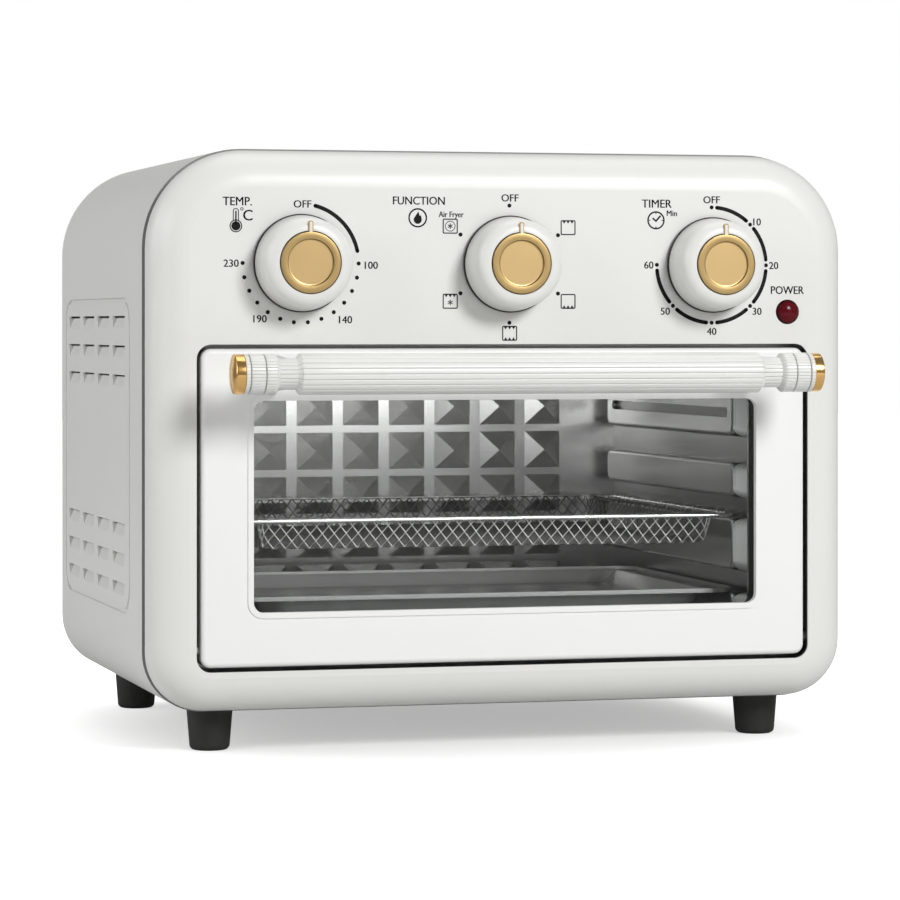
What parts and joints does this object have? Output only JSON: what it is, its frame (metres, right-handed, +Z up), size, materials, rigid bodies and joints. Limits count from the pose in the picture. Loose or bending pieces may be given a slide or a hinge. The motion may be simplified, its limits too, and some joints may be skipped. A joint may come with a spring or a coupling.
{
  "type": "air fryer toaster oven",
  "caption": "Countertop convection oven with a drop-down glass door, turning dials, a sliding mesh basket and a baking tray in a lit steel chamber.",
  "frame": {"origin": "on the table under the middle of the oven's overall box", "axes": "+X to the oven's right as seen from the front, +Y from the door to the back, +Z up"},
  "size_m": [0.3526, 0.3188, 0.2902],
  "materials": {
    "painted_body": "satin",
    "panel_plastic": "satin",
    "door_plastic": "satin",
    "knob_plastic": "satin",
    "gold_metal": "polished",
    "handle_plastic": "satin",
    "black_rubber": "matte",
    "lens_red": "glossy",
    "glass_clear": "clear",
    "steel_sheet": "bright",
    "zinc_sheet": "galvanised",
    "wire_steel": "bright",
    "heater_sheath": "heat darkened",
    "ceramic": "fired ceramic",
    "control_plastic": "moulded",
    "fastener": "plated",
    "motor_metal": "painted",
    "aluminium_fan": "cast",
    "silicone": "matte"
  },
  "bodies": {
    "cabinet": {"front_bezel": "panel_plastic", "outer_case": "painted_body", "rear_panel": "painted_body", "rear_screws": "fastener", "cord_gland": "black_rubber", "foot_front_left": "black_rubber", "foot_front_right": "black_rubber", "foot_rear_left": "black_rubber", "foot_rear_right": "black_rubber", "foot_screws": "fastener", "control_bracket": "zinc_sheet", "thermostat": "control_plastic", "function_switch": "control_plastic", "timer_unit": "control_plastic", "shaft_nuts": "fastener", "power_lamp_lens": "lens_red", "power_lamp_body": "control_plastic", "cavity_front_frame": "steel_sheet", "cavity_left_wall": "steel_sheet", "cavity_right_wall": "steel_sheet", "cavity_back_wall": "steel_sheet", "cavity_ceiling": "steel_sheet", "cavity_floor": "steel_sheet", "hinge_bracket_left": "zinc_sheet", "hinge_bracket_right": "zinc_sheet", "upper_heater_front": "heater_sheath", "upper_heater_rear": "heater_sheath", "lower_heater_front": "heater_sheath", "lower_heater_rear": "heater_sheath", "heater_insulators": "ceramic", "fan_housing": "zinc_sheet", "fan_motor": "motor_metal"},
    "door": {"door_frame": "door_plastic", "door_glass": "glass_clear", "glass_gasket": "silicone", "door_liner": "steel_sheet", "hinge_pins": "fastener", "handle_bar": "handle_plastic", "handle_collar_left": "handle_plastic", "handle_collar_right": "handle_plastic", "handle_cap_left": "gold_metal", "handle_cap_right": "gold_metal", "handle_post_left": "handle_plastic", "handle_post_right": "handle_plastic", "handle_screws": "fastener"},
    "temp_control": {"temp_knob": "knob_plastic", "temp_disc": "gold_metal", "temp_shaft": "fastener"},
    "function_control": {"function_knob": "knob_plastic", "function_disc": "gold_metal", "function_shaft": "fastener"},
    "timer_control": {"timer_knob": "knob_plastic", "timer_disc": "gold_metal", "timer_shaft": "fastener"},
    "fan": {"fan_impeller": "aluminium_fan", "fan_shaft": "fastener"},
    "basket": {"basket_frame": "wire_steel", "basket_mesh": "wire_steel"},
    "tray": {"bake_tray": "steel_sheet"}
  },
  "joints": [
    {"name": "door_hinge", "type": "hinge", "parent": "cabinet", "child": "door", "pos_m": [0, -0.10362, 0.051], "axis": [1, 0, 0], "range_deg": [0, 84], "stiffness_Nm_per_rad": 0.2, "springref_deg": -91.67},
    {"name": "temp_knob_turn", "type": "hinge", "parent": "cabinet", "child": "temp_control", "pos_m": [-0.1035, -0.11063, 0.235], "axis": [0, 1, 0], "range_deg": [0, 270]},
    {"name": "function_knob_turn", "type": "hinge", "parent": "cabinet", "child": "function_control", "pos_m": [0, -0.11063, 0.235], "axis": [0, 1, 0], "range_deg": [0, 300]},
    {"name": "timer_knob_turn", "type": "hinge", "parent": "cabinet", "child": "timer_control", "pos_m": [0.1035, -0.11063, 0.235], "axis": [0, 1, 0], "range_deg": [0, 270]},
    {"name": "fan_spin", "type": "hinge", "parent": "cabinet", "child": "fan", "pos_m": [0, 0.02598, 0.2], "axis": [0, 0, 1], "continuous": true},
    {"name": "basket_slide", "type": "slide", "parent": "cabinet", "child": "basket", "axis": [0, -1, 0], "range_m": [0, 0.11]},
    {"name": "tray_slide", "type": "slide", "parent": "cabinet", "child": "tray", "axis": [0, -1, 0], "range_m": [0, 0.027]}
  ],
  "couplings": [
    {"joint": "basket_slide", "follows": "door_hinge", "m_per_rad": 0.075},
    {"joint": "tray_slide", "follows": "door_hinge", "m_per_rad": 0.018}
  ]
}
